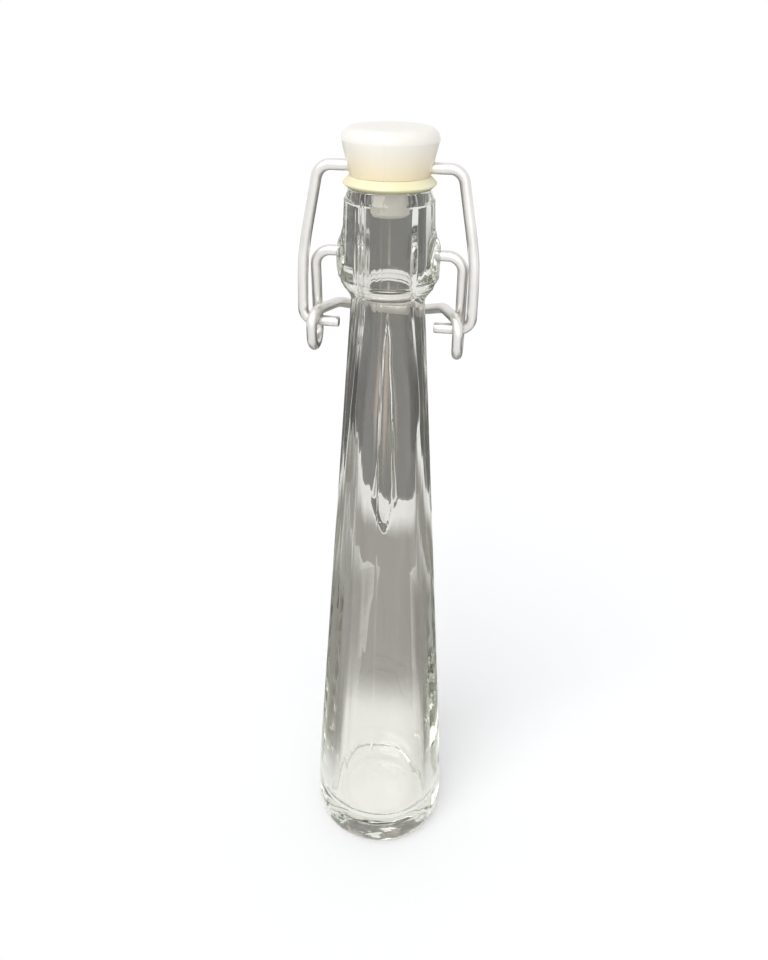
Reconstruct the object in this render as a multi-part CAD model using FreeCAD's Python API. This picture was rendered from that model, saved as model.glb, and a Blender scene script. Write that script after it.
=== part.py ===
import FreeCAD, Part
import math
import os

os.makedirs("parts", exist_ok=True)
V = FreeCAD.Vector

# Miniature liqueur bottle, 4 cl, tapered clear glass with a swing-top closure.
# Millimetres.  The bottle stands on Z = 0 with its axis on Z.  The closure's
# hinge lines run along X, and its lever's crossbar lies at the back, on +Y.

# ---------------------------------------------------------------- glass: outside
BASE_DIAMETER = 35.7        # upright band above the heel
TAPER_START = 13.4          # where the taper's line meets that band
TAPER_ROUNDING = 120.0      # rounding between band and taper
HEEL_RADIUS = 4.0           # rounding between wall and standing ring
BODY_HEIGHT = 156.8         # standing plane to the foot of the finish
NECK_DIAMETER = 15.2        # at the foot of the finish
FINISH_DIAMETER = 18.0      # under the lip
FINISH_FLARE = 0.85         # growth in radius from the lip to the shoulder
FINISH_HEIGHT = 20.4        # foot of the finish to the rim
SHOULDER_HEIGHT = 2.1       # foot of the finish to its widest corner
SHOULDER_RADIUS = 2.2       # rounding of that corner
LIP_HEIGHT = 2.2            # sloping lip between rim and side
LIP_SET_BACK = 0.9          # how far the lip slopes in
RIM_ROUNDING = 0.6
PUSH_UP_DEPTH = 1.6         # dome under the base
STANDING_RING_WIDTH = 1.6   # flat ring that the bottle stands on

# ---------------------------------------------------------------- glass: inside
BORE_DIAMETER = 9.5
BORE_DEPTH = 25.0           # parallel part of the bore, from the rim
WALL_UPPER = 2.5            # body wall under the neck
WALL_LOWER = 4.4            # body wall above the heel
FLOOR_THICKNESS = 7.0
FLOOR_CORNER_RADIUS = 5.0

# ---------------------------------------------------------------- side bosses
BOSS_RISE = 1.1             # crown of a boss above the finish at its shoulder
BOSS_CROWN_RADIUS = 5.0     # rounding of a boss seen from above
BOSS_BELOW_RIM = 14.0       # rim to the middle of a boss
PIVOT_BELOW_RIM = 12.8      # rim to the lever's hinge line
POCKET_HEIGHT = 6.4         # oval dimple that the wire dips into
POCKET_WIDTH = 4.4
POCKET_DEPTH = 1.7
PIN_DEPTH = 2.0             # pin end, measured in from the crown

# ---------------------------------------------------------------- wires
WIRE_DIAMETER = 2.2
WIRE_GAP = 0.35             # lever wire to bail wire, side by side
PIN_CLEARANCE = 0.10        # radial, pins in their holes
PIN_REACH = 1.9             # straight pin between boss and first bend
LEVER_BEND = 3.2
EYE_RADIUS = 3.3            # centre line of the eye's lower half
EYE_DROP = 5.3              # stub's centre to the eye's lowest centre line
EYE_PLAY = 0.2              # eye's top wire to the stub under it
TOGGLE_REACH = 14.5         # lever hinge line down to the stub
TOGGLE_OFFSET = 2.0         # stub forward of the hinge line, past dead centre
CROSSBAR_DROP = 14.5        # lever hinge line down to the crossbar
CROSSBAR_CLEARANCE = 0.35   # crossbar to the back of the neck
CROSSBAR_SET_IN = 1.4       # crossbar corner, in from the side of the neck
ELBOW_GAP = 2.3             # neck's side to the wire at the elbow
ELBOW_BEND = 4.0
BAIL_BEND_TOP = 3.0
BAIL_BEND_HOOK = 2.5
BAIL_BOW_RADIUS = 45.0
BAIL_BOW_BELOW_BAR = 17.7   # stopper bar down to the bow in the bail
BAIL_TOP_GAP = 3.6          # stopper's widest side to the bail's upper corner
BAIL_BOW_SET_IN = 0.15      # bow corner, in from the hook corner
STUB_GAP = 2.0              # stub's cut end to the neck

# ---------------------------------------------------------------- stopper and seal
STOPPER_LOW_DIAMETER = 15.8     # head where it meets the seal
STOPPER_TOP_DIAMETER = 19.0
STOPPER_HEIGHT = 8.8            # head, without the plug
STOPPER_WIDEST = 6.4            # widest point above the head's foot
STOPPER_TOP_ROUNDING = 2.3
BAR_ABOVE_HEAD_FOOT = 1.55      # bail's bar above the head's foot
PLUG_CLEARANCE = 0.85           # radial, plug in the bore
PLUG_DEPTH = 5.2                # plug below the rim
PLUG_CHAMFER = 0.6
SEAL_THICKNESS = 2.1
SEAL_DIAMETER = 18.9            # widest, at two fifths of its height
SEAL_WIDEST = 0.75
SEAL_FOOT_DIAMETER = 17.0
SEAL_TO_RIM = 0.15              # running gap, taken up in use by the rubber
SEAL_TO_HEAD = 0.0              # seal and head meet face to face
SEAL_ON_PLUG = 0.05             # radial

# ---------------------------------------------------------------- derived sizes
WIRE_R = WIRE_DIAMETER / 2
PLUG_R = BORE_DIAMETER / 2 - PLUG_CLEARANCE
BOSS_REACH = FINISH_DIAMETER / 2 + FINISH_FLARE + BOSS_RISE
LEVER_ARM = BOSS_REACH + PIN_REACH + LEVER_BEND - 0.75
BAIL_HOOK = LEVER_ARM + WIRE_DIAMETER + WIRE_GAP
BAIL_TOP = STOPPER_TOP_DIAMETER / 2 + WIRE_R + BAIL_TOP_GAP
Z_RIM = BODY_HEIGHT + FINISH_HEIGHT
Z_PIVOT = Z_RIM - PIVOT_BELOW_RIM
Z_BOSS = Z_RIM - BOSS_BELOW_RIM
Z_SEAL = Z_RIM + SEAL_TO_RIM
Z_HEAD = Z_SEAL + SEAL_THICKNESS + SEAL_TO_HEAD
Z_BAR = Z_HEAD + BAR_ABOVE_HEAD_FOOT
Z_STUB = Z_PIVOT - TOGGLE_REACH
Y_STUB = -TOGGLE_OFFSET
WALL_TAPER = (BASE_DIAMETER - NECK_DIAMETER) / 2 / (BODY_HEIGHT - TAPER_START)


def outer_radius(z):
    """Outer radius of the straight tapered body at height z."""
    return BASE_DIAMETER / 2 - WALL_TAPER * (z - TAPER_START)


def rounded_profile(corners):
    """Closed face in the XZ plane from (r, z, rounding) corners.

    A corner with a rounding becomes a tangent arc, the others stay sharp.
    """
    count = len(corners)
    nodes = []
    for i, (r, z, rounding) in enumerate(corners):
        here = V(r, 0, z)
        if not rounding:
            nodes.append((here, None, here))
            continue
        before = V(corners[i - 1][0], 0, corners[i - 1][1]) - here
        after = V(corners[(i + 1) % count][0], 0, corners[(i + 1) % count][1]) - here
        nodes.append(tangent_arc(here, before, after, rounding))
    edges = []
    for i, (start, middle, end) in enumerate(nodes):
        if middle is not None:
            edges.append(Part.Arc(start, middle, end).toShape())
        following = nodes[(i + 1) % count][0]
        if end.distanceToPoint(following) > 1e-6:
            edges.append(Part.LineSegment(end, following).toShape())
    return Part.Face(Part.Wire(edges))


def tangent_arc(corner, before, after, radius):
    """Start, middle and end of the arc that rounds a corner between two runs."""
    a, b = V(before).normalize(), V(after).normalize()
    half = a.getAngle(b) / 2
    setback = radius / math.tan(half)
    centre = corner + V(a + b).normalize() * (radius / math.sin(half))
    middle = centre + V(corner - centre).normalize() * radius
    return corner + a * setback, middle, corner + b * setback


def bent_wire(corners):
    """Round wire along (x, y, z, bend radius) corners, ends cut square."""
    points = [V(*corner[:3]) for corner in corners]
    edges, last = [], points[0]
    for i in range(1, len(points) - 1):
        start, middle, end = tangent_arc(
            points[i], points[i - 1] - points[i], points[i + 1] - points[i], corners[i][3])
        edges.append(Part.LineSegment(last, start).toShape())
        edges.append(Part.Arc(start, middle, end).toShape())
        last = end
    edges.append(Part.LineSegment(last, points[-1]).toShape())
    path = Part.Wire(edges)
    section = Part.Wire(Part.makeCircle(WIRE_R, points[0], points[1] - points[0]))
    return path.makePipeShell([section], True, False), path.Length


def mirrored(corners):
    """The corners of one side, then the same ones across X, end to end."""
    return corners + [(-x, y, z, bend) for x, y, z, bend in reversed(corners)]


def revolve(corners):
    return rounded_profile(corners).revolve(V(0, 0, 0), V(0, 0, 1), 360)


# ---------------------------------------------------------------- bottle
def make_bottle():
    ring = BASE_DIAMETER / 2 - HEEL_RADIUS - STANDING_RING_WIDTH
    shoulder = FINISH_DIAMETER / 2 + FINISH_FLARE
    neck = outer_radius(BODY_HEIGHT)
    outside = revolve([
        (0, PUSH_UP_DEPTH, 0),
        (ring * 0.45, PUSH_UP_DEPTH, 8.0),
        (ring, 0, 0.8),
        (BASE_DIAMETER / 2 - 0.1, 0, HEEL_RADIUS),
        (BASE_DIAMETER / 2, TAPER_START, TAPER_ROUNDING),
        (neck, BODY_HEIGHT, 1.2),
        (shoulder, BODY_HEIGHT + SHOULDER_HEIGHT, SHOULDER_RADIUS),
        (FINISH_DIAMETER / 2, Z_RIM - LIP_HEIGHT, 0),
        (FINISH_DIAMETER / 2 - LIP_SET_BACK, Z_RIM, RIM_ROUNDING),
        (0, Z_RIM, 0),
    ])
    wheel = Part.makeTorus(
        BOSS_REACH - BOSS_CROWN_RADIUS, BOSS_CROWN_RADIUS, V(0, 0, Z_BOSS), V(0, 1, 0))
    inner_edge = BORE_DIAMETER / 2 + 1.4
    sides = []
    for side in (1, -1):
        block = Part.makeBox(BOSS_REACH, 4 * BOSS_CROWN_RADIUS, 2 * BOSS_REACH)
        block.translate(V(inner_edge if side > 0 else -inner_edge - BOSS_REACH,
                          -2 * BOSS_CROWN_RADIUS, Z_BOSS - BOSS_REACH))
        sides.append(wheel.common(block))
    glass = outside.fuse(sides)

    bore = BORE_DIAMETER / 2
    z_bore = Z_RIM - BORE_DEPTH
    z_low = FLOOR_THICKNESS + 22.0
    z_floor = FLOOR_THICKNESS
    floor_radius = outer_radius(z_low) - WALL_LOWER + WALL_TAPER * (z_low - z_floor) * 0.6
    z_upper = z_bore - 22.0
    hollow = revolve([
        (0, z_floor, 0),
        (floor_radius, z_floor, FLOOR_CORNER_RADIUS),
        (outer_radius(z_low) - WALL_LOWER, z_low, 60.0),
        (outer_radius(z_upper) - WALL_UPPER, z_upper, 60.0),
        (bore, z_bore, 20.0),
        (bore, Z_RIM + 1, 0),
        (0, Z_RIM + 1, 0),
    ])
    mouth = Part.makeCone(bore, bore + 2 * RIM_ROUNDING, 2 * RIM_ROUNDING,
                          V(0, 0, Z_RIM - RIM_ROUNDING), V(0, 0, 1))
    glass = glass.cut(hollow).cut(mouth)

    for side in (1, -1):
        oval = Part.makeSphere(1)
        stretch = FreeCAD.Matrix()
        stretch.scale(V(POCKET_DEPTH, POCKET_WIDTH / 2, POCKET_HEIGHT / 2))
        oval = oval.transformGeometry(stretch)
        oval.translate(V(side * BOSS_REACH, 0, Z_BOSS))
        hole = Part.makeCylinder(
            WIRE_R + PIN_CLEARANCE, PIN_DEPTH + PIN_CLEARANCE + 1,
            V(side * (BOSS_REACH - PIN_DEPTH - PIN_CLEARANCE), 0, Z_PIVOT), V(side, 0, 0))
        glass = glass.cut(oval).cut(hole)
    return glass


# ---------------------------------------------------------------- stopper and seal
def make_stopper():
    head_low = STOPPER_LOW_DIAMETER / 2
    head_top = STOPPER_TOP_DIAMETER / 2
    body = revolve([
        (0, Z_RIM - PLUG_DEPTH, 0),
        (PLUG_R - PLUG_CHAMFER, Z_RIM - PLUG_DEPTH, 0),
        (PLUG_R, Z_RIM - PLUG_DEPTH + PLUG_CHAMFER, 0),
        (PLUG_R, Z_HEAD, 0),
        (head_low, Z_HEAD, 0),
        (head_top, Z_HEAD + STOPPER_WIDEST, 6.0),
        (head_top, Z_HEAD + STOPPER_HEIGHT, STOPPER_TOP_ROUNDING),
        (0, Z_HEAD + STOPPER_HEIGHT, 0),
    ])
    hole = Part.makeCylinder(WIRE_R + PIN_CLEARANCE, 2 * STOPPER_TOP_DIAMETER,
                             V(-STOPPER_TOP_DIAMETER, 0, Z_BAR), V(1, 0, 0))
    return body.cut(hole)


def make_seal():
    hole = PLUG_R + SEAL_ON_PLUG
    return revolve([
        (hole, Z_SEAL, 0),
        (SEAL_FOOT_DIAMETER / 2, Z_SEAL, 0),
        (SEAL_DIAMETER / 2, Z_SEAL + SEAL_WIDEST, 0.25),
        (STOPPER_LOW_DIAMETER / 2 + 0.15, Z_SEAL + SEAL_THICKNESS, 0),
        (hole, Z_SEAL + SEAL_THICKNESS, 0),
    ])


# ---------------------------------------------------------------- wires
def make_lever():
    """Lower wire: pins, arms, closed eyes and the crossbar behind the neck."""
    y_back = Y_STUB + EYE_RADIUS
    y_front = Y_STUB - EYE_RADIUS
    z_eye = Z_STUB - EYE_DROP
    z_over = Z_STUB + WIRE_DIAMETER + EYE_PLAY
    z_cross = Z_PIVOT - CROSSBAR_DROP
    neck = outer_radius(z_cross)
    y_cross = neck + WIRE_R + CROSSBAR_CLEARANCE
    side = [
        (BOSS_REACH - PIN_DEPTH, 0, Z_PIVOT, 0),
        (LEVER_ARM, 0, Z_PIVOT, LEVER_BEND),
        (LEVER_ARM, y_back, z_eye, EYE_RADIUS * 0.94),
        (LEVER_ARM, y_front, z_eye, EYE_RADIUS * 0.94),
        (LEVER_ARM, y_front, z_over + 0.3, EYE_RADIUS * 0.95),
        (neck + WIRE_R + ELBOW_GAP, y_cross * 0.5, z_over - 0.2, ELBOW_BEND),
        (neck - CROSSBAR_SET_IN, y_cross, z_cross, ELBOW_BEND),
    ]
    return bent_wire(mirrored(side))


def make_bail():
    """Upper wire: bar through the stopper, two arms and the hooked stubs."""
    stub_end = outer_radius(Z_STUB) + STUB_GAP
    z_bow = Z_BAR - BAIL_BOW_BELOW_BAR
    y_bow = Y_STUB * BAIL_BOW_BELOW_BAR / (Z_BAR - Z_STUB)
    side = [
        (stub_end, Y_STUB, Z_STUB, 0),
        (BAIL_HOOK, Y_STUB, Z_STUB, BAIL_BEND_HOOK),
        (BAIL_HOOK - BAIL_BOW_SET_IN, y_bow, z_bow, BAIL_BOW_RADIUS),
        (BAIL_TOP, 0, Z_BAR, BAIL_BEND_TOP),
    ]
    return bent_wire(mirrored(side))


# ---------------------------------------------------------------- build
bottle = make_bottle()
stopper = make_stopper()
seal = make_seal()
lever, lever_length = make_lever()
bail, bail_length = make_bail()

for name, shape in (("bottle", bottle), ("stopper", stopper), ("seal", seal),
                    ("bail", bail), ("lever", lever)):
    solids = shape.Solids
    print(name, "solids", len(solids), "valid", shape.isValid(),
          "volume", round(shape.Volume, 2), "box", shape.BoundBox)
    shape = solids[0] if len(solids) == 1 else shape
    shape.exportStep("parts/" + name + ".step")

section = math.pi * WIRE_R ** 2
print("wire check", round(lever.Volume / (section * lever_length), 5),
      round(bail.Volume / (section * bail_length), 5))
print("levels rim", Z_RIM, "pivot", Z_PIVOT, "stub", Z_STUB, "bar", Z_BAR)
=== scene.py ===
"""Miniature swing-top liqueur bottle: the dressed model and its studio.

The glass, the wires, the stopper and the seal are each built by a class that
keeps its sizes as dataclass fields.  Every length is in metres.
"""

import logging
from dataclasses import dataclass, field
from enum import Enum
from math import atan2, ceil, cos, exp, hypot, pi, radians, remainder, sin, sqrt, tan
from typing import Callable, NamedTuple, Sequence

import bpy
from mathutils import Matrix, Vector, noise


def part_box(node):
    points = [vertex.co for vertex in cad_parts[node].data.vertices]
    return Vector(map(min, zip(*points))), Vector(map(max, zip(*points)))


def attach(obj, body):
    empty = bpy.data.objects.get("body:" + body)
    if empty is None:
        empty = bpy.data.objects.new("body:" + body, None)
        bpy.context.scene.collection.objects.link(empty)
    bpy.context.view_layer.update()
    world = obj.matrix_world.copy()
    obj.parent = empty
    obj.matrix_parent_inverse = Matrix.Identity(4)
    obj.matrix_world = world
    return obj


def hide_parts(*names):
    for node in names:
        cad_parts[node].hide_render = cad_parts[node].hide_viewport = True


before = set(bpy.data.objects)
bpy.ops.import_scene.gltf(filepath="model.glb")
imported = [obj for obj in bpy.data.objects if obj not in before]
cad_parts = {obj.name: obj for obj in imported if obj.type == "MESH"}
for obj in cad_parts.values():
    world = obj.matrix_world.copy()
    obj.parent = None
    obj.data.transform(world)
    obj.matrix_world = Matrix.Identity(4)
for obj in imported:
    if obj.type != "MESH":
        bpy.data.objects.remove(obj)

LOG = logging.getLogger("bottle")
WIRE_RADIUS = 1.1e-3

Band = tuple[float, float]
Corner = tuple[float, float, float]
Colour = tuple[float, float, float]
Material = bpy.types.Material
Node = bpy.types.Node
Piece = bpy.types.Object
Socket = bpy.types.NodeSocket
Sockets = bpy.types.NodeOutputs
Tree = bpy.types.NodeTree

WHITE: Colour = (1.0, 1.0, 1.0)


class Body(Enum):
    """The bodies that the pieces ride on."""

    BOTTLE = "bottle"
    LEVER = "lever"
    BAIL = "bail"
    STOPPER = "stopper"


class Slot(Enum):
    """The record's material slots."""

    GLASS = "glass"
    STOPPER = "stopper"
    SEAL = "seal"
    BAIL = "bail_wire"
    LEVER = "lever_wire"


class Spot(NamedTuple):
    """A point of a turned surface, before its offset."""

    index: int
    angle: float
    radius: float
    height: float


def smooth_step(low: float, high: float, value: float) -> float:
    """Ease from 0 at low to 1 at high."""
    t = min(1.0, max(0.0, (value - low) / (high - low)))
    return t * t * (3.0 - 2.0 * t)


def round_noise(angle: float, wide: float, height: float) -> float:
    """Smooth noise on a circle, so that it has no seam."""
    return noise.noise(Vector((cos(angle) * wide, sin(angle) * wide, height)))


def steady_noise(place: Vector) -> Vector:
    """Smooth noise in each direction, the same on every run."""
    return Vector([noise.noise(place + Vector((0.0, aside, 0.0))) for aside in (0.3, 20.6, 40.9)])


def tangent_arc(corner: Vector, before: Vector, after: Vector, radius: float,
                steps: int) -> list[Vector]:
    """Round one corner of a path with an arc that touches both runs.

    Args:
        corner: The sharp corner.
        before: The point before it.
        after: The point after it.
        radius: Radius of the arc.
        steps: Number of chords in the arc.

    Returns:
        The points along the arc, both ends included.
    """
    a, b = (before - corner).normalized(), (after - corner).normalized()
    half = a.angle(b) / 2.0
    centre = corner + (a + b).normalized() * (radius / sin(half))
    start = corner + a * (radius / tan(half)) - centre
    end = corner + b * (radius / tan(half)) - centre
    sweep = start.angle(end)
    turns = [sweep * i / steps for i in range(steps + 1)]
    return [centre + (start * sin(sweep - t) + end * sin(t)) / sin(sweep) for t in turns]


def even_run(start: Vector, end: Vector, longest: float) -> list[Vector]:
    """Points strictly between two ends, no further apart than longest."""
    count = max(1, ceil((end - start).length / longest))
    return [start.lerp(end, i / count) for i in range(1, count)]


def rounded_path(corners: Sequence[Sequence[float]], longest: float, chord: float) -> list[Vector]:
    """Join corners with straight runs and tangent arcs.

    Args:
        corners: Coordinates of each corner, two or three, then its rounding.
        longest: Longest step along a straight run.
        chord: Angle that one step of an arc covers, in radians.

    Returns:
        The points of the rounded path.
    """
    spots = [Vector(c[:-1]).to_3d() for c in corners]
    path = [spots[0]]
    for i in range(1, len(spots)):
        radius = corners[i][-1]
        if i == len(spots) - 1 or radius <= 0.0:
            nodes = [spots[i]]
        else:
            turn = pi - (spots[i - 1] - spots[i]).angle(spots[i + 1] - spots[i])
            nodes = tangent_arc(spots[i], spots[i - 1], spots[i + 1], radius,
                                max(2, ceil(turn / chord)))
        path += even_run(path[-1], nodes[0], longest)
        path += nodes if (nodes[0] - path[-1]).length > 1e-7 else nodes[1:]
    return path


def column_angles(step: int, *closer: tuple[float, float, int]) -> list[float]:
    """Angles of a turned mesh's columns, closer together at chosen sides.

    Args:
        step: The usual step, in degrees.
        *closer: A side, which stands for its opposite too, its step and the steps each way.

    Returns:
        The angles once round, in radians.
    """
    angles = {round(radians(a), 6) for a in range(0, 360, step)}
    for side, fine, count in closer:
        angles |= {round(radians((half + a * fine) % 360.0), 6)
                   for half in (side, side + 180.0) for a in range(-count, count + 1)}
    return sorted(angles)


def mesh_piece(name: str, node: str, body: Body, slot: Slot, material: Material,
               points: Sequence[Vector], faces: Sequence[Sequence[int]]) -> Piece:
    """Make a smooth mesh object that rides on a body.

    Args:
        name: Its name.
        node: The CAD node that it stands for.
        body: The body it moves with.
        slot: The record's slot; not used.
        material: Its finish.
        points: Its vertices.
        faces: Its faces.

    Returns:
        The piece.
    """
    mesh = bpy.data.meshes.new(name)
    mesh.from_pydata(points, [], faces)
    mesh.validate()
    mesh.shade_smooth()
    mesh.materials.append(material)
    piece = bpy.data.objects.new(name, mesh)
    bpy.context.scene.collection.objects.link(piece)
    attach(piece, body.value)
    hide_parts(node)
    return piece


def turned_mesh(path: Sequence[Vector], angles: Sequence[float],
                offset: Callable[[Spot], float],
                closed: bool = False) -> tuple[list[Vector], list[list[int]]]:
    """Turn a profile about Z, with a radial offset at each point.

    Args:
        path: Points with radius as X and height as Y; a radius of 0 is a pole.
        angles: Angles of the columns, in radians, once round.
        offset: Extra radius at a point; its index is its row.
        closed: Whether the profile closes on itself, as a ring's does.

    Returns:
        The vertices and the faces.
    """
    points: list[Vector] = []
    rows: list[list[int]] = []
    for k, (r, z) in enumerate((max(0.0, p.x), p.y) for p in path):
        start, pole = len(points), r < 1e-9
        for angle in angles[:1] if pole else angles:
            reach = 0.0 if pole else r + offset(Spot(k, angle, r, z))
            points.append(Vector((reach * cos(angle), reach * sin(angle), z)))
        rows.append(list(range(start, len(points))))
    faces: list[list[int]] = []
    for low, high in list(zip(rows, rows[1:])) + ([(rows[-1], rows[0])] if closed else []):
        for i in range(len(angles)):
            j = (i + 1) % len(angles)
            if len(low) == 1:
                faces.append([low[0], high[j], high[i]])
            elif len(high) == 1:
                faces.append([low[i], low[j], high[0]])
            else:
                faces.append([low[i], low[j], high[j], high[i]])
    return points, faces


class NodeSheet:
    """A short hand for laying out shader nodes in one tree."""

    def __init__(self, tree: Tree) -> None:
        """Start with the given tree."""
        self.tree = tree

    def feed(self, target: Socket, value: object) -> None:
        """Link an input to a socket, or set it to a plain value.

        Args:
            target: The input.
            value: The socket that feeds it, a number, a vector or a colour.
        """
        if isinstance(value, Socket):
            self.tree.links.new(value, target)
        else:
            target.default_value = (*value, 1) if target.type == "RGBA" else value

    def add(self, kind: str, *values: object, **settings: object) -> Node:
        """Add a node and give it its properties and inputs.

        Args:
            kind: Its type name, after ShaderNode.
            *values: Its first inputs, in order.
            **settings: Properties by name; inputs by name with spaces as _.

        Returns:
            The new node.
        """
        node = self.tree.nodes.new("ShaderNode" + kind)
        for key, value in settings.items():
            if hasattr(node, key):
                setattr(node, key, value)
            else:
                self.feed(node.inputs[key.replace("_", " ")], value)
        for socket, value in zip(node.inputs, values):
            self.feed(socket, value)
        return node

    def effect(self, group: Tree, **inputs: object) -> Sockets:
        """Place a shared effect with its own values, for its outputs."""
        return self.add("Group", node_tree=group, **inputs).outputs

    def maths(self, operation: str, *values: object) -> Socket:
        """The answer to a sum of numbers or sockets."""
        return self.add("Math", *values, operation=operation).outputs[0]

    def mix(self, share: Socket, first: object, second: object) -> Socket:
        """A colour between two others, by the share of the second."""
        node = self.add("Mix", share, data_type="RGBA")
        self.feed(node.inputs[6], first)
        self.feed(node.inputs[7], second)
        return node.outputs[2]

    def mix_shaders(self, share: Socket, first: Socket, second: Socket) -> Socket:
        """A shader between two others, by the share of the second."""
        return self.add("MixShader", share, first, second).outputs[0]

    def ramp(self, value: Socket, span: Band, reach: Band = (0.0, 1.0),
             smooth: bool = False) -> Socket:
        """Carry a value from one span to another, held at both ends.

        Args:
            value: The socket with the value.
            span: The values that the reach's ends stand for.
            reach: The result's two ends.
            smooth: Whether it eases in and out.

        Returns:
            The socket with the result.
        """
        kind = "SMOOTHSTEP" if smooth else "LINEAR"
        return self.add("MapRange", value, *span, *reach, interpolation_type=kind).outputs[0]

    def place(self, output: str = "Object") -> Socket:
        """Coordinates on the piece: Object in metres, or UV."""
        return self.add("TexCoord").outputs[output]

    def parts(self, vector: Socket) -> Sockets:
        """The X, Y and Z of a vector."""
        return self.add("SeparateXYZ", Vector=vector).outputs

    def noise(self, **inputs: object) -> Socket:
        """Noise, laid out by its inputs."""
        return self.add("TexNoise", **inputs).outputs["Fac"]

    def bump(self, height: Socket, strength: float, distance: float) -> Socket:
        """Normals that stand for a height."""
        node = self.add("Bump", Strength=strength, Distance=distance, Height=height)
        return node.outputs["Normal"]


class MaterialSheet(NodeSheet):
    """A new material's tree, with its Principled shader."""

    def __init__(self, name: str) -> None:
        """Make the material under its name."""
        self.material = bpy.data.materials.new(name)
        self.material.use_nodes = True
        super().__init__(self.material.node_tree)
        self.shader = self.tree.nodes["Principled BSDF"]

    def dress(self, **inputs: object) -> None:
        """Give the shader its inputs, by name with spaces as _."""
        for key, value in inputs.items():
            self.feed(self.shader.inputs[key.replace("_", " ")], value)

    def out(self, end: str, source: Socket) -> None:
        """Link a shader to the material's Surface or Volume."""
        self.feed(self.tree.nodes["Material Output"].inputs[end], source)


class SurfaceMarks:
    """Shared effects, each a node group that is built once."""

    def __init__(self) -> None:
        """Build the groups."""
        self.drift = self._drift()
        self.handling = self._handling()
        self.drawn = self._drawn()
        self.rise = self._rise()

    def above(self, sheet: NodeSheet, band: Band) -> Socket:
        """A mask that goes from 0 to 1 over a band of height."""
        return sheet.effect(self.rise, Low=band[0], High=band[1])["Mask"]

    @staticmethod
    def _group(name: str, inputs: dict[str, float | Colour], *outputs: str) -> tuple[
            NodeSheet, Sockets, bpy.types.NodeInputs]:
        """Make an empty group with named sockets.

        Args:
            name: The group's name.
            inputs: Each input's default; a colour's is a tuple.
            *outputs: Names of the outputs; Colour is a colour, the rest numbers.

        Returns:
            The group's sheet, what comes in, and what goes out.
        """
        tree = bpy.data.node_groups.new(name, "ShaderNodeTree")
        for label, value in inputs.items():
            colour = isinstance(value, tuple)
            socket = tree.interface.new_socket(
                label, in_out="INPUT", socket_type=f"NodeSocket{'Color' if colour else 'Float'}")
            socket.default_value = (*value, 1) if colour else value
        for label in outputs:
            kind = "NodeSocketColor" if label == "Colour" else "NodeSocketFloat"
            tree.interface.new_socket(label, in_out="OUTPUT", socket_type=kind)
        start, end = tree.nodes.new("NodeGroupInput"), tree.nodes.new("NodeGroupOutput")
        return NodeSheet(tree), start.outputs, end.inputs

    def _drift(self) -> Tree:
        """Slow change between two colours, with a mask of the same change."""
        sheet, start, end = self._group(
            "slow_drift", {"Colour": WHITE, "Other": WHITE, "Scale": 60.0, "Amount": 0.5},
            "Colour", "Mask")
        cloud = sheet.noise(Vector=sheet.place(), Scale=start["Scale"], Detail=3.0, Roughness=0.55)
        share = sheet.maths("MULTIPLY", sheet.ramp(cloud, (0.32, 0.68)), start["Amount"])
        sheet.feed(end["Colour"], sheet.mix(share, start["Colour"], start["Other"]))
        sheet.feed(end["Mask"], share)
        return sheet.tree

    def _rise(self) -> Tree:
        """Soft change with height, from 0 at Low to 1 at High, in metres."""
        sheet, start, end = self._group("height_blend", {"Low": 0.0, "High": 0.1}, "Mask")
        height = sheet.parts(sheet.place())["Z"]
        sheet.feed(end["Mask"], sheet.ramp(height, (start["Low"], start["High"]), smooth=True))
        return sheet.tree

    def _handling(self) -> Tree:
        """Sparse rubs and specks that handling leaves, as a mask."""
        sheet, start, end = self._group(
            "handling_rubs", {"Scale": 400.0, "Spread": 0.5}, "Mask", "Height")
        place = sheet.place()
        patch = sheet.noise(Vector=place, Scale=55.0, Detail=2.0)
        fine = sheet.noise(Vector=place, Scale=start["Scale"], Detail=5.0, Roughness=0.7)
        both = sheet.maths("MULTIPLY", sheet.ramp(patch, (0.56, 0.74)),
                           sheet.ramp(fine, (0.58, 0.70)))
        sheet.feed(end["Mask"], sheet.maths("MULTIPLY", both, start["Spread"]))
        sheet.feed(end["Height"], fine)
        return sheet.tree

    def _drawn(self) -> Tree:
        """Lines along a drawn wire, and the small pits between them."""
        sheet, start, end = self._group(
            "drawn_lines", {"Round": 26.0, "Along": 0.8, "Pits": 900.0}, "Lines", "Pits", "Height")
        parts = sheet.parts(sheet.place("UV"))
        # The turn round the wire becomes a circle, so the lines have no seam.
        turn = sheet.maths("MULTIPLY", parts["X"], 2.0 * pi)
        x, y = (sheet.maths("MULTIPLY", sheet.maths(side, turn), start["Round"])
                for side in ("COSINE", "SINE"))
        ring = sheet.add("CombineXYZ", X=x, Y=y, Z=sheet.maths("MULTIPLY", parts["Y"], start["Along"]))
        lines = sheet.noise(Vector=ring.outputs[0], Scale=1.0, Detail=4.0, Roughness=0.65)
        pits = sheet.add("TexVoronoi", Vector=sheet.place(), Scale=start["Pits"])
        dots = sheet.ramp(pits.outputs["Distance"], (0.05, 0.22))
        sheet.feed(end["Lines"], lines)
        sheet.feed(end["Pits"], dots)
        sheet.feed(end["Height"], sheet.maths("MULTIPLY", lines, dots))
        return sheet.tree


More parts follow.
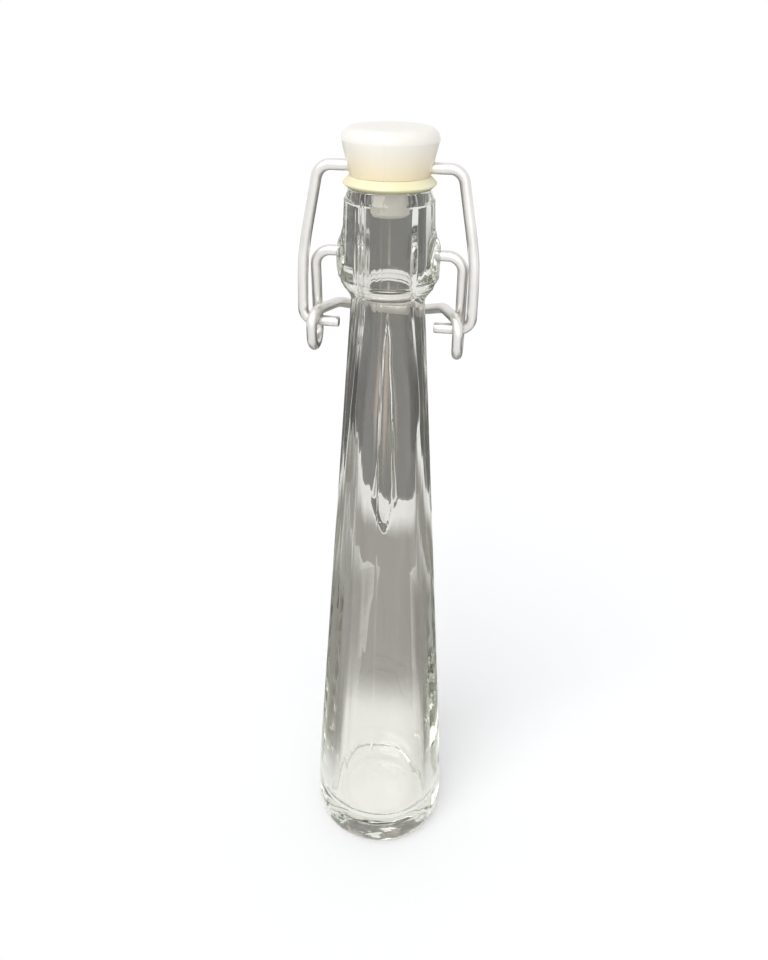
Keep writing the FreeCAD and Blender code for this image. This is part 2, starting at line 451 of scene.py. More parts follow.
@dataclass(frozen=True)
class ClearGlass:
    """Flint glass, with a faint green cast where it is thick, and painted light that makes it paler
    near the foot.
    """

    tint: Colour = (0.90, 0.893, 0.87)
    # Painted light: a paler glass colour near the foot.
    painted_light_tint_low: Colour = (0.992, 0.988, 0.96)
    painted_light_band: Band = (9e-3, 42e-3)
    streak_shade: float = 0.96
    rubbed: Colour = (0.90, 0.90, 0.88)
    rubbed_roughness: float = 0.45
    worn: Colour = (0.975, 0.98, 0.93)
    worn_reach: Band = (9.7e-3, 10.5e-3)
    worn_from: Band = (155e-3, 158.5e-3)
    worn_roughness: float = 0.32
    stipple_band: Band = (14e-3, 7e-3)
    stipple_depth: float = 0.4e-3
    depth_colour: Colour = (0.62, 0.65, 0.56)
    depth_density: float = 20.0
    ior: float = 1.51

    def build(self, marks: SurfaceMarks) -> Material:
        """Make the material.

        Args:
            marks: The shared effects.

        Returns:
            The material.
        """
        sheet = MaterialSheet("flint_glass")
        # Painted light: the glass is paler near the foot, as if the thick base let more light through.
        pale = sheet.mix(marks.above(sheet, self.painted_light_band), self.painted_light_tint_low, self.tint)
        drift = sheet.effect(marks.drift, Colour=pale, Scale=45.0, Amount=0.4,
                             Other=[c * self.streak_shade for c in self.tint])
        rubs = sheet.effect(marks.handling, Scale=1400.0, Spread=0.6)["Mask"]
        rubbed = sheet.mix(rubs, drift["Colour"], self.rubbed)
        # The wire's pins have rubbed the two bosses dull.
        place = sheet.place()
        aside = sheet.maths("ABSOLUTE", sheet.parts(place)["X"])
        worn = sheet.maths("MULTIPLY", sheet.ramp(aside, self.worn_reach, smooth=True),
                           marks.above(sheet, self.worn_from))
        rough = sheet.maths("MAXIMUM", sheet.ramp(rubs, (0.0, 1.0), (0.0, self.rubbed_roughness)),
                            sheet.maths("MULTIPLY", worn, self.worn_roughness))
        stipple = sheet.maths("MULTIPLY", sheet.noise(Vector=place, Scale=210.0, Detail=1.5),
                              marks.above(sheet, self.stipple_band))
        sheet.dress(Transmission_Weight=1.0, IOR=self.ior, Roughness=rough,
                    Base_Color=sheet.mix(worn, rubbed, self.worn),
                    Normal=sheet.bump(stipple, 0.6, self.stipple_depth))
        depth = sheet.add("VolumeAbsorption", Color=self.depth_colour, Density=self.depth_density)
        sheet.out("Volume", depth.outputs[0])
        return sheet.material


@dataclass(frozen=True)
class DrawnWire:
    """Bright drawn steel wire with a soft satin sheen."""

    name: str
    bright: Colour = (0.82, 0.805, 0.78)
    dull: Colour = (0.64, 0.62, 0.595)
    roughness: Band = (0.24, 0.40)
    line_depth: float = 0.06e-3

    def build(self, marks: SurfaceMarks) -> Material:
        """Make the material.

        Args:
            marks: The shared effects.

        Returns:
            The material.
        """
        sheet = MaterialSheet(self.name)
        drawn = sheet.effect(marks.drawn)
        drift = sheet.effect(marks.drift, Colour=self.bright, Other=self.dull,
                             Scale=160.0, Amount=0.45)
        sheet.dress(Metallic=1.0, Base_Color=drift["Colour"],
                    Roughness=sheet.ramp(drawn["Lines"], (0.3, 0.7), self.roughness),
                    Normal=sheet.bump(drawn["Height"], 0.25, self.line_depth))
        return sheet.material


@dataclass(frozen=True)
class WarmPlastic:
    """White plastic, slightly yellowish and translucent, with a soft gloss; painted shade turns the
    head cream towards its foot, and painted light makes the plug paler.
    """

    white: Colour = (0.92, 0.90, 0.85)
    # Cream: the plastic's own tone in the drift, and the painted shade low on the head.
    cream_and_painted_shade: Colour = (0.93, 0.80, 0.56)
    # Painted light: the plug is paler than the head, so that it reads lighter when seen through the
    # glass.
    plug: Colour = (0.95, 0.93, 0.86)
    painted_light_plug_band: Band = (176.4e-3, 177.4e-3)
    painted_shade_head_band: Band = (178.8e-3, 187e-3)
    roughness: Band = (0.34, 0.5)
    grain: float = 0.1e-3
    glow_reach: Corner = (4e-3, 3e-3, 2e-3)

    def build(self, marks: SurfaceMarks) -> Material:
        """Make the material.

        Args:
            marks: The shared effects.

        Returns:
            The material.
        """
        sheet = MaterialSheet("stopper_white")
        # Painted shade: the head turns from white at the top to cream near its foot, as it would under
        # light from above.
        head_with_painted_shade = sheet.mix(marks.above(sheet, self.painted_shade_head_band), self.cream_and_painted_shade, self.white)
        # Painted light: the plug inside the bore is given the paler colour.
        plain = sheet.mix(marks.above(sheet, self.painted_light_plug_band), self.plug, head_with_painted_shade)
        drift = sheet.effect(marks.drift, Colour=plain, Other=self.cream_and_painted_shade, Scale=90.0, Amount=0.15)
        rubs = sheet.effect(marks.handling, Scale=900.0)
        sheet.dress(IOR=1.48, Subsurface_Weight=0.25, Subsurface_Scale=0.5,
                    Subsurface_Radius=self.glow_reach, Base_Color=drift["Colour"],
                    Roughness=sheet.ramp(rubs["Mask"], (0.0, 1.0), self.roughness),
                    Normal=sheet.bump(rubs["Height"], 0.12, self.grain))
        return sheet.material


@dataclass(frozen=True)
class PaleRubber:
    """Pale yellow rubber, matt, with a powdery bloom and painted shade on its under edge."""

    yellow: Colour = (0.88, 0.82, 0.52)
    bloom: Colour = (0.91, 0.88, 0.66)
    # Painted shade: the darker colour of the under edge, where the seal meets the rim.
    under: Colour = (0.50, 0.46, 0.26)
    painted_shade_edge_band: Band = (177.4e-3, 178.2e-3)
    grain: float = 0.1e-3
    glow_reach: Corner = (2e-3, 1.5e-3, 0.6e-3)

    def build(self, marks: SurfaceMarks) -> Material:
        """Make the material.

        Args:
            marks: The shared effects.

        Returns:
            The material.
        """
        sheet = MaterialSheet("seal_rubber")
        drift = sheet.effect(marks.drift, Colour=self.yellow, Other=self.bloom,
                             Scale=260.0, Amount=0.8)
        rubs = sheet.effect(marks.handling, Scale=2200.0)
        # Painted shade: the seal's under edge is darker, as if in shadow against the rim.
        colour = sheet.mix(marks.above(sheet, self.painted_shade_edge_band), self.under, drift["Colour"])
        sheet.dress(Roughness=0.55, Subsurface_Weight=0.15, Subsurface_Scale=0.5,
                    Subsurface_Radius=self.glow_reach, Base_Color=colour,
                    Normal=sheet.bump(rubs["Height"], 0.3, self.grain))
        return sheet.material


@dataclass
class GlassBottle:
    """The tapered bottle, its finish, its two side bosses and its bore."""

    low: Vector
    high: Vector
    base_diameter: float = 35.7e-3
    taper_start: float = 13.4e-3
    taper_bend: float = 120e-3
    heel: float = 4e-3
    heel_set_in: float = 0.1e-3
    standing_ring: float = 1.6e-3
    ring_bend: float = 0.8e-3
    push_up: float = 1.6e-3
    push_up_flat: float = 0.45
    push_up_bend: float = 8e-3
    neck_radius: float = 7.6e-3
    neck_bend: float = 1.2e-3
    finish_height: float = 20.4e-3
    finish_radius: float = 9e-3
    finish_flare: float = 0.85e-3
    shoulder_height: float = 2.1e-3
    shoulder_bend: float = 2.2e-3
    lip_height: float = 2.2e-3
    lip_set_back: float = 0.9e-3
    lip_edge: float = 0.18e-3
    rim_bend: float = 0.6e-3
    bore: float = 4.75e-3
    bore_flare: float = 0.3e-3
    bore_entry: float = 1.2e-3
    bore_depth: float = 25e-3
    bore_bend: float = 20e-3
    wall_upper: float = 2.5e-3
    wall_lower: float = 4.4e-3
    wall_margin: float = 22e-3
    wall_bend: float = 60e-3
    floor: float = 7e-3
    floor_spread: float = 0.6
    floor_bend: float = 5e-3
    boss_rise: float = 1.1e-3
    boss_crown: float = 5e-3
    boss_root: float = 1.4e-3
    boss_blend: float = 0.8e-3
    boss_skirt: float = 4e-3
    boss_below_rim: float = 14e-3
    boss_line: Corner = (3.9e-3, 4.8e-3, 0.16e-3)
    boss_line_width: float = 0.09
    pivot_below_rim: float = 12.8e-3
    pocket: Corner = (1.7e-3, 2.2e-3, 3.2e-3)
    pin_depth: float = 2e-3
    seat_clearance: float = 0.1e-3
    seat_edge: Band = (0.02e-3, 0.45e-3)
    seam_height: float = 0.05e-3
    seam_width: float = 0.16e-3
    outer_uneven: float = 0.035e-3
    inner_uneven: Band = (0.42e-3, 0.12e-3)
    streak_depth: float = 0.24e-3
    fold_heights: Band = (103e-3, 152e-3)
    fold_half: float = 2.7e-3
    fold_belly: float = 0.16
    fold_depth: float = 0.8e-3
    fold_angle: float = radians(-82.0)
    fold_uneven: float = 0.35e-3
    coarse_step: float = 1e-3
    fine_step: float = 0.2e-3
    beads: tuple[Corner, ...] = (
        (2.9e-3, 0.10e-3, 0.22e-3), (1.6e-3, 0.07e-3, 0.20e-3),
        (0.6e-3, 0.09e-3, 0.22e-3), (18.2e-3, 0.10e-3, 0.20e-3))
    outer_count: int = field(default=0, init=False)

    @property
    def base_radius(self) -> float:
        """Radius of the upright band above the heel."""
        return self.base_diameter / 2.0

    @property
    def foot(self) -> float:
        """Height of the foot of the finish."""
        return self.high.z - self.finish_height

    @property
    def taper(self) -> float:
        """Fall of the body's radius with height."""
        return (self.base_radius - self.neck_radius) / (self.foot - self.taper_start)

    @property
    def crown(self) -> float:
        """Bottle axis to the crown of a boss."""
        return self.finish_radius + self.finish_flare + self.boss_rise

    @property
    def boss_height(self) -> float:
        """Height of the bosses' middle."""
        return self.high.z - self.boss_below_rim

    @property
    def pivot(self) -> float:
        """Height of the lever's hinge line."""
        return self.high.z - self.pivot_below_rim

    def body_radius(self, z: float) -> float:
        """Outer radius of the tapered body at a height."""
        return self.base_radius - self.taper * (z - self.taper_start)

    def outline(self) -> list[Vector]:
        """Profile from the middle of the base, up the outside and down the bore.

        Returns:
            Points with radius as X and height as Y; sets outer_count to the
            number of them that are on the outside.
        """
        rim, foot = self.high.z, self.foot
        ring = self.base_radius - self.heel - self.standing_ring
        bore_foot = rim - self.bore_depth
        low, high = self.floor + self.wall_margin, bore_foot - self.wall_margin
        cavity = self.body_radius(low) - self.wall_lower
        corners = [
            (0.0, self.push_up, 0.0),
            (ring * self.push_up_flat, self.push_up, self.push_up_bend),
            (ring, 0.0, self.ring_bend),
            (self.base_radius - self.heel_set_in, 0.0, self.heel),
            (self.base_radius, self.taper_start, self.taper_bend),
            (self.body_radius(foot), foot, self.neck_bend),
            (self.finish_radius + self.finish_flare, foot + self.shoulder_height, self.shoulder_bend),
            (self.finish_radius, rim - self.lip_height, self.lip_edge),
            (self.finish_radius - self.lip_set_back, rim, self.rim_bend),
            (self.bore + self.bore_flare, rim, self.rim_bend),
            (self.bore, rim - self.bore_entry, self.bore_entry),
            (self.bore, bore_foot, self.bore_bend),
            (self.body_radius(high) - self.wall_upper, high, self.wall_bend),
            (cavity, low, self.wall_bend),
            (cavity + self.taper * (low - self.floor) * self.floor_spread, self.floor, self.floor_bend),
            (0.0, self.floor, 0.0),
        ]
        path = rounded_path(corners, self.coarse_step, 0.09)
        dense = [path[0]]
        for a, b in zip(path, path[1:]):
            # The finish has the bosses, so its rows are closer.
            if min(a.y, b.y) > foot - 2e-3 and max(a.x, b.x) > self.bore + 1e-3:
                dense += even_run(a, b, self.fine_step)
            dense.append(b)
        self.outer_count = 1 + max(
            k for k, p in enumerate(dense) if p.y > rim - 1e-6 and p.x > self.bore)
        return dense

    def swell(self, spot: Spot) -> float:
        """Radial offset: waves, bosses, dimples, beads and the mould's seam.

        Args:
            spot: The point.

        Returns:
            The offset to add to its radius.
        """
        k, angle, r, z = spot
        if k >= self.outer_count:
            return self._inner_wave(spot)
        reach = r
        if self.heel <= z <= self.foot:
            fade = smooth_step(0.0, 12e-3, z - self.heel) * smooth_step(0.0, 10e-3, self.foot - z)
            reach += self.outer_uneven * fade * round_noise(angle, 1.2, z * 28.0)
        boss = self._boss(spot)
        if z > self.foot - self.boss_skirt and boss > 0.0:
            near = max(0.0, self.boss_blend - abs(reach - boss)) / self.boss_blend
            reach = max(reach, boss) + near * near * self.boss_blend / 4.0
            reach -= self._dimple(spot, reach)
        reach += sum(high * exp(-((z - self.foot - rise) / wide) ** 2)
                     for rise, high, wide in self.beads)
        seam = exp(-((cos(angle) * reach) / self.seam_width) ** 2)
        if self.heel * 0.8 < z < self.high.z - self.lip_height * 0.5:
            reach += self.seam_height * seam
        return min(reach, self.high.y) - r

    def _boss(self, spot: Spot) -> float:
        """Find the reach of the boss along a direction, by halving.

        Args:
            spot: The point.

        Returns:
            The reach from the axis, or 0 where the boss isn't met.
        """
        c, s = abs(cos(spot.angle)), abs(sin(spot.angle))
        dz, root = spot.height - self.boss_height, self.bore + self.boss_root
        if abs(dz) >= self.crown or self.crown * c < root:
            return 0.0
        inside, outside = 0.0, self.crown * 1.2
        for _ in range(24):
            reach = (inside + outside) / 2.0
            x, y = reach * c, reach * s
            rounded = sqrt(max(0.0, self.boss_crown ** 2 - y * y))
            wheel = self.crown - self.boss_crown + rounded
            if y < self.boss_crown and hypot(x, dz) < wheel:
                inside = reach
            else:
                outside = reach
        return inside if inside * c > root else 0.0

    def _dimple(self, spot: Spot, reach: float) -> float:
        """Depth of the oval dimple, its outline and the seat that the pin turns in.

        Args:
            spot: The point.
            reach: The boss's reach there.

        Returns:
            The depth below that reach.
        """
        y, dz = abs(sin(spot.angle)) * reach, spot.height - self.boss_height
        deep, wide, tall = self.pocket
        oval = (y / wide) ** 2 + (dz / tall) ** 2
        half_wide, half_tall, groove = self.boss_line
        off_line = (hypot(y / half_wide, dz / half_tall) - 1.0) / self.boss_line_width
        depth = groove * exp(-off_line ** 2)
        if oval < 1.0:
            depth = max(depth, reach - self.crown + deep * sqrt(1.0 - oval))
        near, far = (WIRE_RADIUS + edge for edge in self.seat_edge)
        seat = (self.pin_depth + self.seat_clearance) * (
            1.0 - smooth_step(near, far, hypot(y, spot.height - self.pivot)))
        return max(depth, seat - (self.crown - reach)) if seat > 0.0 else depth

    def _inner_wave(self, spot: Spot) -> float:
        """Unevenness of the blown inner wall, which bends the light in streaks.

        Args:
            spot: The point.

        Returns:
            The offset; in the bore it only ever stands back from the opening.
        """
        _, angle, r, z = spot
        if r < self.bore * 0.9:
            return 0.0
        inside = smooth_step(0.0, 26e-3, self.high.z - self.bore_depth + 6e-3 - z)
        low = smooth_step(self.floor, self.floor + 14e-3, z)
        broad, narrow = self.inner_uneven
        swell = (broad * round_noise(angle, 0.9, z * 17.0 + 5.0)
                 + narrow * round_noise(angle, 2.43, z * 45.9 + 13.5))
        upright = self.streak_depth * abs(round_noise(angle, 3.1, z * 9.0)) * smooth_step(
            0.0, 3e-3, self.high.z - 1.5e-3 - z)
        swell *= inside * (1.3 - 0.3 * low)
        return swell + (1.0 - 0.6 * inside) * upright - self._fold(spot)

    def _fold(self, spot: Spot) -> float:
        """Tear-shaped fold that the blowing left inside the front wall.

        Args:
            spot: The point.

        Returns:
            How far the fold stands into the cavity.
        """
        _, angle, r, z = spot
        low, high = self.fold_heights
        t = (z - low) / (high - low)
        turn = remainder(angle - self.fold_angle, 2.0 * pi)
        if not 0.0 < t < 1.0 or abs(turn) > 1.2:
            return 0.0
        share = t / self.fold_belly if t < self.fold_belly else (1.0 - t) / (1.0 - self.fold_belly)
        half = self.fold_half * share ** 0.7
        uneven = self.fold_uneven * noise.noise(Vector((turn * 2.0, 1.0, z * 120.0)))
        return self.fold_depth * (1.0 - smooth_step(half * 0.55, half, abs(turn) * r + uneven))

    def build(self, glass: Material) -> Piece:
        """Build the bottle's mesh, finer at the bosses and seams, and dress it."""
        angles = column_angles(2, (0.0, 0.5, 64), (90.0, 0.25, 14))
        return mesh_piece("glass_bottle", "bottle", Body.BOTTLE, Slot.GLASS, glass,
                          *turned_mesh(self.outline(), angles, self.swell))


@dataclass
class WireForm:
    """A wire bent through corners, with cut ends and slight hand unevenness.

    The corners are those of one half, and the other half is its mirror.
    """

    body: Body
    slot: Slot
    corners: list[tuple[float, ...]]
    seed: float
    sides: int = 24
    end_bevel: float = 0.14e-3
    waver: float = 0.02e-3

    def route(self) -> list[Vector]:
        """Centre line from one cut end to the other."""
        path = rounded_path(
            self.corners + [(-x, y, z, bend) for x, y, z, bend in reversed(self.corners)],
            1e-3, 0.10)
        uneven = []
        for i, point in enumerate(path):
            fade = smooth_step(0.0, 5.0, min(i, len(path) - 1 - i))
            place = Vector((point.x * 90.0, self.seed, i * 0.045))
            uneven.append(point + steady_noise(place) * self.waver * fade)
        return uneven

    def build(self, steel: Material) -> Piece:
        """Sweep the wire and dress it.

        Args:
            steel: The wire's finish.

        Returns:
            The wire.
        """
        path = self.route()
        last = len(path) - 1
        tangents = [(path[min(i + 1, last)] - path[max(i - 1, 0)]).normalized()
                    for i in range(last + 1)]
        normal = tangents[0].orthogonal().normalized()
        points: list[Vector] = []
        turns: list[tuple[float, float]] = []
        run = 0.0
        cut, whole = (0.0, WIRE_RADIUS - self.end_bevel), (0.0, WIRE_RADIUS)
        ends = {0: [cut, (self.end_bevel, WIRE_RADIUS)],
                last: [(-self.end_bevel, WIRE_RADIUS), cut]}
        for i, (centre, along) in enumerate(zip(path, tangents)):
            if i:
                run += (centre - path[i - 1]).length
                normal = (normal - along * normal.dot(along)).normalized()
            across = along.cross(normal)
            for shift, size in ends.get(i, [whole]):
                for k in range(self.sides):
                    a = 2.0 * pi * k / self.sides
                    points.append(centre + along * shift
                                  + (normal * cos(a) + across * sin(a)) * size)
                    turns.append((k / self.sides, run * 1e3))
        rings = [range(i, i + self.sides) for i in range(0, len(points), self.sides)]
        faces = [list(reversed(rings[0])), list(rings[-1])]
        for low, high in zip(rings, rings[1:]):
            for k in range(self.sides):
                j = (k + 1) % self.sides
                faces.append([low[k], low[j], high[j], high[k]])
        piece = mesh_piece(self.slot.value, self.body.value, self.body, self.slot, steel,
                           points, faces)
        layer = piece.data.uv_layers.new(name="turn_and_run")
        for loop in piece.data.loops:
            layer.data[loop.index].uv = turns[loop.vertex_index]
        for polygon in piece.data.polygons:
            if len(polygon.vertices) > 4:
                polygon.use_smooth = False
        return piece


@dataclass
class StopperHead:
    """The tapered white head with the plug that reaches into the bore."""

    low: Vector
    high: Vector
    foot_radius: float = 7.9e-3
    foot_bend: float = 0.2e-3
    head_height: float = 8.8e-3
    widest: float = 6.4e-3
    widest_bend: float = 0.7e-3
    top_bend: float = 2.3e-3
    top_flat: float = 0.55
    top_hollow: Band = (0.02e-3, 0.12e-3)
    plug_radius: float = 3.9e-3
    plug_chamfer: float = 0.6e-3
    plug_bend: float = 0.15e-3
    bar_above_foot: float = 1.55e-3
    hole_edge: Band = (0.05e-3, 0.32e-3)
    hole_depth: float = 1.1e-3
    mould_line: float = 0.05e-3
    mould_line_width: float = 0.14e-3

    def hollow(self, spot: Spot) -> float:
        """Radial offset: the holes that the wire enters, and a mould line.

        Args:
            spot: The point.

        Returns:
            The offset.
        """
        _, angle, r, z = spot
        foot = self.high.z - self.head_height
        if z < foot + 0.01e-3 or r < self.foot_radius * 0.9:
            return 0.0
        reach = hypot(sin(angle) * r, z - foot - self.bar_above_foot)
        near, far = (WIRE_RADIUS + edge for edge in self.hole_edge)
        seam = exp(-((cos(angle) * r) / self.mould_line_width) ** 2)
        return self.mould_line * seam - self.hole_depth * (1.0 - smooth_step(near, far, reach))

    def build(self, plastic: Material) -> Piece:
        """Build the stopper and dress it.

        Args:
            plastic: The stopper's finish.

        Returns:
            The stopper.
        """
        plug_foot, top, wide = self.low.z, self.high.z, self.high.x
        foot = top - self.head_height
        path = rounded_path([
            (0.0, plug_foot, 0.0),
            (self.plug_radius - self.plug_chamfer, plug_foot, self.plug_bend),
            (self.plug_radius, plug_foot + self.plug_chamfer, self.plug_bend),
            (self.plug_radius, foot, 0.0),
            (self.foot_radius, foot, self.foot_bend),
            (wide, foot + self.widest, self.widest_bend),
            (wide, top, self.top_bend),
            (wide * self.top_flat, top - self.top_hollow[0], 6e-3),
            (0.0, top - self.top_hollow[1], 0.0),
        ], 0.22e-3, 0.12)
        angles = column_angles(3, (0.0, 0.8, 16), (90.0, 0.5, 5))
        return mesh_piece("stopper_head", "stopper", Body.STOPPER, Slot.STOPPER, plastic,
                          *turned_mesh(path, angles, self.hollow))


@dataclass
class SealRing:
    """The pale rubber ring between the stopper's head and the rim."""

    low: Vector
    high: Vector
    hole: float = 3.95e-3
    foot_radius: float = 8.5e-3
    head_radius: float = 8.05e-3
    widest: float = 0.75e-3
    widest_bend: float = 0.3e-3
    edge_bend: float = 0.2e-3
    uneven: float = 0.07e-3

    def waver(self, spot: Spot) -> float:
        """Slight unevenness of the ring's edge, mostly inwards."""
        wave = round_noise(spot.angle, 1.7, spot.height * 300.0) - 0.4
        return self.uneven * wave if spot.radius >= self.foot_radius * 0.8 else 0.0

    def build(self, rubber: Material) -> Piece:
        """Build the ring and dress it.

        Args:
            rubber: The ring's finish.

        Returns:
            The ring.
        """
        low, high = self.low.z, self.high.z
        path = rounded_path([
            (self.hole, low, 0.0),
            (self.foot_radius, low, self.edge_bend),
            (self.high.x + 0.1e-3, low + self.widest, self.widest_bend),
            (self.head_radius, high, self.edge_bend),
            (self.hole, high, 0.0),
        ], 0.3e-3, 0.2)
        return mesh_piece("seal_ring", "seal", Body.STOPPER, Slot.SEAL, rubber,
                          *turned_mesh(path, column_angles(2), self.waver, closed=True))


@dataclass
class SwingClosure:
    """The two wires of the swing top, from the same sizes as the bottle's."""

    bottle: GlassBottle
    bar_height: float
    gap: float = 0.35e-3
    pin_reach: float = 1.9e-3
    lever_bend: float = 3.2e-3
    lever_set_in: float = 0.75e-3
    eye: float = 3.3e-3
    eye_low_bend: float = 0.94
    eye_high_bend: float = 0.95
    eye_drop: float = 5.3e-3
    eye_play: float = 0.2e-3
    eye_top: float = 0.3e-3
    toggle_reach: float = 14.5e-3
    toggle_offset: float = 2e-3
    crossbar_drop: float = 14.5e-3
    crossbar_clearance: float = 0.35e-3
    crossbar_set_in: float = 1.4e-3
    elbow_gap: float = 2.3e-3
    elbow_bend: float = 5.2e-3
    elbow_drop: float = 0.2e-3
    stub_gap: float = 2e-3
    hook_bend: float = 2.5e-3
    bow_below_bar: float = 17.7e-3
    bow_set_in: float = 0.18e-3
    bow_bend: float = 45e-3
    top_half: float = 14.2e-3
    top_bend: float = 3e-3

    @property
    def arm(self) -> float:
        """Bottle axis to the lever's arm."""
        return self.bottle.crown + self.pin_reach + self.lever_bend - self.lever_set_in

    @property
    def stub(self) -> float:
        """Height of the bail's stubs in the lever's eyes."""
        return self.bottle.pivot - self.toggle_reach

    def lever(self) -> WireForm:
        """The lower wire, with its pins, closed eyes and crossbar."""
        pivot, under = self.bottle.pivot, self.stub - self.eye_drop
        over = self.stub + 2 * WIRE_RADIUS + self.eye_play
        cross = pivot - self.crossbar_drop
        neck = self.bottle.body_radius(cross)
        back, front = self.eye - self.toggle_offset, -self.eye - self.toggle_offset
        y_cross = neck + WIRE_RADIUS + self.crossbar_clearance
        return WireForm(Body.LEVER, Slot.LEVER, [
            (self.bottle.crown - self.bottle.pin_depth, 0.0, pivot, 0.0),
            (self.arm, 0.0, pivot, self.lever_bend),
            (self.arm, back, under, self.eye * self.eye_low_bend),
            (self.arm, front, under, self.eye * self.eye_low_bend),
            (self.arm, front, over + self.eye_top, self.eye * self.eye_high_bend),
            (neck + WIRE_RADIUS + self.elbow_gap, y_cross * 0.5, over - self.elbow_drop,
             self.elbow_bend),
            (neck - self.crossbar_set_in, y_cross, cross, self.elbow_bend),
        ], seed=3.0)

    def bail(self) -> WireForm:
        """The upper wire, with its bar, arms and hooked stubs."""
        hook = self.arm + 2 * WIRE_RADIUS + self.gap
        bow = self.bar_height - self.bow_below_bar
        y_bow = -self.toggle_offset * self.bow_below_bar / (self.bar_height - self.stub)
        return WireForm(Body.BAIL, Slot.BAIL, [
            (self.bottle.body_radius(self.stub) + self.stub_gap, -self.toggle_offset, self.stub, 0.0),
            (hook, -self.toggle_offset, self.stub, self.hook_bend),
            (hook - self.bow_set_in, y_bow, bow, self.bow_bend),
            (self.top_half, 0.0, self.bar_height, self.top_bend),
        ], seed=8.0)


def stage_sheet(name: str, x: float, z: float, material: Material, lying: bool) -> Piece:
    """Make a flat sheet of the studio, with its middle at the origin.

    Args:
        name: Its name.
        x: Half its width.
        z: Half its height, or half its depth where it lies.
        material: Its finish.
        lying: Whether it lies, facing up.

    Returns:
        The sheet.
    """
    mesh = bpy.data.meshes.new(name)
    mesh.from_pydata([(-x, 0, -z), (x, 0, -z), (x, 0, z), (-x, 0, z)], [], [(0, 1, 2, 3)])
    mesh.materials.append(material)
    sheet = bpy.data.objects.new(name, mesh)
    if lying:
        sheet.rotation_euler = (-pi / 2.0, 0.0, 0.0)
    bpy.context.scene.collection.objects.link(sheet)
    return sheet


class CardTone(Enum):
    """Colours of the cards that the glass and the metal show."""

    DARK = (0.10, 0.10, 0.10)
    GREY = (0.145, 0.145, 0.137)
    PALE = (0.33, 0.32, 0.295)
    WARM = (0.48, 0.40, 0.34)


@dataclass(frozen=True)
class Card:
    """A card near the bottle, seen only in glass and metal.

    It stands facing the bottle, or lies; tall is then its depth.  Its edge
    fades over the share soft of its half size.
    """

    name: str
    place: Corner
    wide: float
    tall: float
    tone: CardTone
    soft: float
    lying: bool = False

    def build(self) -> None:
        """Make the card and set it in its place."""
        sheet = MaterialSheet(self.name)
        halves = (self.wide / 2.0, self.tall / 2.0)
        parts = sheet.parts(sheet.place())
        inside = [sheet.ramp(sheet.maths("ABSOLUTE", parts[axis]), (half, half * (1.0 - self.soft)),
                             smooth=True) for axis, half in zip("XZ", halves)]
        glow = sheet.add("Emission", Color=self.tone.value, Strength=1.0)
        clear = sheet.add("BsdfTransparent")
        within = sheet.maths("MULTIPLY", *inside)
        sheet.out("Surface", sheet.mix_shaders(within, clear.outputs[0], glow.outputs[0]))
        card = stage_sheet(self.name, *halves, sheet.material, self.lying)
        card.location = self.place
        if not self.lying:
            card.rotation_euler = (0.0, 0.0, atan2(-self.place[0], self.place[1]))
        card.visible_camera = card.visible_diffuse = card.visible_shadow = False


@dataclass(frozen=True)
class Lamp:
    """A broad lamp far away, so that the floor is lit evenly.

    Towards is its direction from the bottle, spread its width in degrees and
    strength its light on a surface that faces it, in W/m2.
    """

    name: str
    towards: Corner
    spread: float
    strength: float

    def build(self) -> None:
        """Hang the lamp."""
        light = bpy.data.lights.new(self.name, "SUN")
        light.angle = radians(self.spread)
        light.energy = self.strength
        lamp = bpy.data.objects.new(self.name, light)
        lamp.location = self.towards
        lamp.rotation_euler = (-Vector(self.towards)).to_track_quat("-Z", "Y").to_euler()
        bpy.context.scene.collection.objects.link(lamp)


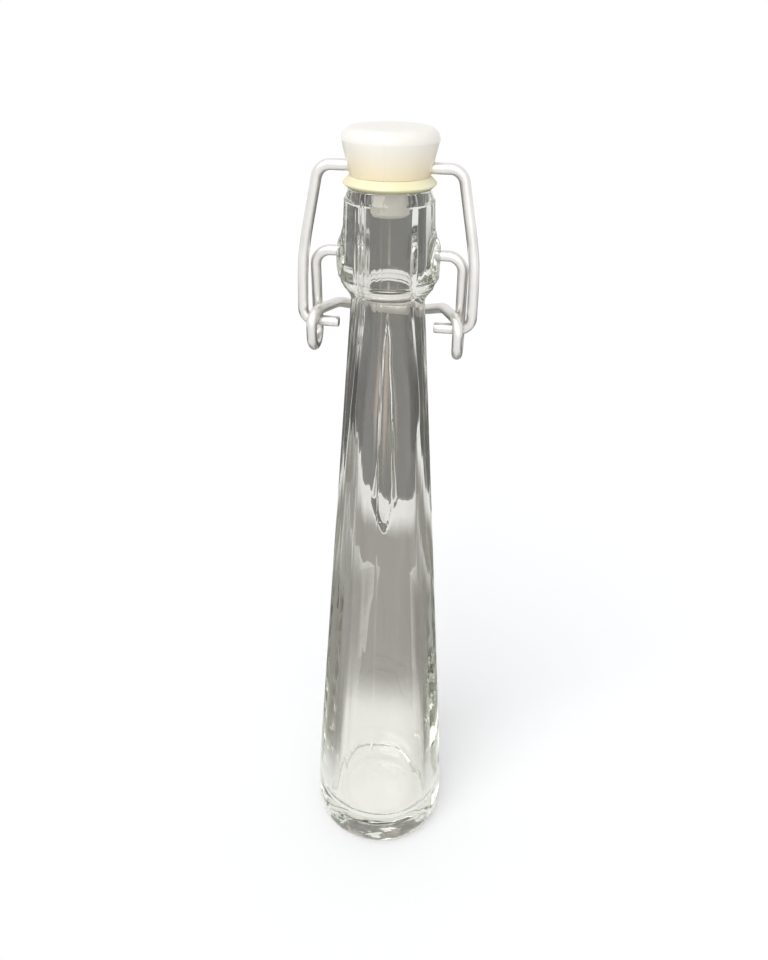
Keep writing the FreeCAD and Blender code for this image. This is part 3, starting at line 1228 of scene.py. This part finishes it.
@dataclass(frozen=True)
class Studio:
    """Pale floor, soft light, cards and the camera."""

    floor_half: float = 1.5
    floor_colour: Colour = (0.84, 0.84, 0.84)
    floor_drop: float = 0.1e-3
    lift: float = 0.22
    sky: Colour = (0.97, 0.98, 1.0)
    sky_strength: float = 0.60
    stand: Corner = (-0.18e-3, -165.6e-3, 206.4e-3)
    pitch: float = radians(29.96)
    turn: float = radians(8.2)
    roll: float = radians(0.96)
    focal: float = 807.0
    image_height: float = 960.0
    sensor: float = 36.0
    light_turns: int = 28
    lamps: tuple[Lamp, ...] = (
        Lamp("key", (-0.35, -0.75, 0.9), 40.0, 1.3),
        Lamp("fill", (0.3, -1.0, 0.5), 60.0, 0.5))
    cards: tuple[Card, ...] = (
        Card("card_left", (-0.24, 0.05, 0.04), 0.32, 0.125, CardTone.DARK, 0.5),
        Card("card_right", (0.24, 0.05, 0.04), 0.32, 0.125, CardTone.DARK, 0.5),
        Card("card_back", (0.0, 0.168, 0.072), 0.40, 0.152, CardTone.GREY, 0.08),
        Card("card_warm", (-0.017, 0.162, 0.072), 0.030, 0.150, CardTone.WARM, 0.8),
        Card("card_low", (0.0, 0.092, 0.002), 0.60, 0.124, CardTone.PALE, 0.35, True),
        Card("card_near_left", (-0.085, 0.04, 0.002), 0.13, 0.14, CardTone.PALE, 0.3, True),
        Card("card_near_right", (0.085, 0.04, 0.002), 0.13, 0.14, CardTone.PALE, 0.3, True))

    @staticmethod
    def _seen(sheet: NodeSheet) -> Socket:
        """1 for the camera's rays, reflections and light through glass, else 0."""
        path = sheet.add("LightPath").outputs
        seen = sheet.maths("MAXIMUM", path["Is Camera Ray"], path["Is Glossy Ray"])
        return sheet.maths("MAXIMUM", seen, path["Is Transmission Ray"])

    def floor(self) -> None:
        """Lay the floor, which glass sees as plain white."""
        sheet = MaterialSheet("floor_pale")
        sheet.dress(Base_Color=self.floor_colour, Roughness=0.9, Specular_IOR_Level=0.0,
                    Emission_Color=WHITE,
                    Emission_Strength=sheet.maths("MULTIPLY", self._seen(sheet), self.lift))
        path = sheet.add("LightPath").outputs
        white = sheet.add("Emission", Color=WHITE, Strength=1.0)
        sheet.out("Surface", sheet.mix_shaders(path["Is Transmission Ray"],
                                               sheet.shader.outputs[0], white.outputs[0]))
        floor = stage_sheet("floor", self.floor_half, self.floor_half, sheet.material, lying=True)
        floor.location.z = -self.floor_drop

    def world(self) -> None:
        """Set the soft light from all round, and the white beyond the floor."""
        world = bpy.data.worlds.new("studio")
        bpy.context.scene.world = world
        world.use_nodes = True
        sheet = NodeSheet(world.node_tree)
        soft = sheet.add("Background", Color=self.sky, Strength=self.sky_strength)
        white = sheet.add("Background", Color=WHITE, Strength=1.0)
        sheet.feed(world.node_tree.nodes["World Output"].inputs["Surface"],
                   sheet.mix_shaders(self._seen(sheet), soft.outputs[0], white.outputs[0]))

    def camera(self) -> None:
        """Place the camera, with its own pitch, turn and roll."""
        to_bottle = Matrix.Rotation(self.turn, 3, "Z")
        cp, sp = cos(self.pitch), sin(self.pitch)
        right, up, ahead = (to_bottle @ Vector(v) for v in ((1, 0, 0), (0, sp, cp), (0, cp, -sp)))
        cr, sr = cos(self.roll), sin(self.roll)
        right, up = right * cr + up * sr, up * cr - right * sr
        data = bpy.data.cameras.new("camera")
        data.sensor_width = self.sensor
        data.lens = self.focal / self.image_height * self.sensor
        data.clip_start = 0.01
        camera = bpy.data.objects.new("camera", data)
        basis = Matrix((right, up, -ahead)).transposed()
        camera.matrix_world = Matrix.Translation(to_bottle @ Vector(self.stand)) @ basis.to_4x4()
        bpy.context.scene.collection.objects.link(camera)
        bpy.context.scene.camera = camera

    def build(self) -> None:
        """Set up the floor, the light, the cards and the camera."""
        self.floor()
        self.world()
        for item in self.lamps + self.cards:
            item.build()
        self.camera()
        bpy.context.scene.view_settings.view_transform = "Standard"
        # Light turns many times inside the thick foot and bosses.
        light = bpy.context.scene.cycles
        light.max_bounces = light.glossy_bounces = light.transmission_bounces = self.light_turns


def main() -> None:
    """Build the bottle, its closure and the studio, in order."""
    logging.basicConfig(level=logging.INFO, format="%(name)s: %(message)s")
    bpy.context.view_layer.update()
    marks = SurfaceMarks()
    bottle = GlassBottle(*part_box("bottle"))
    head = StopperHead(*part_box("stopper"))
    closure = SwingClosure(bottle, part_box("bail")[1].z - WIRE_RADIUS)
    pieces = [
        bottle.build(ClearGlass().build(marks)),
        head.build(WarmPlastic().build(marks)),
        SealRing(*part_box("seal")).build(PaleRubber().build(marks)),
        closure.lever().build(DrawnWire("lever_steel").build(marks)),
        closure.bail().build(DrawnWire("bail_steel").build(marks)),
    ]
    for piece in pieces:
        LOG.info("%s: %d faces", piece.name, len(piece.data.polygons))
    Studio().build()


if __name__ == "__main__":
    main()
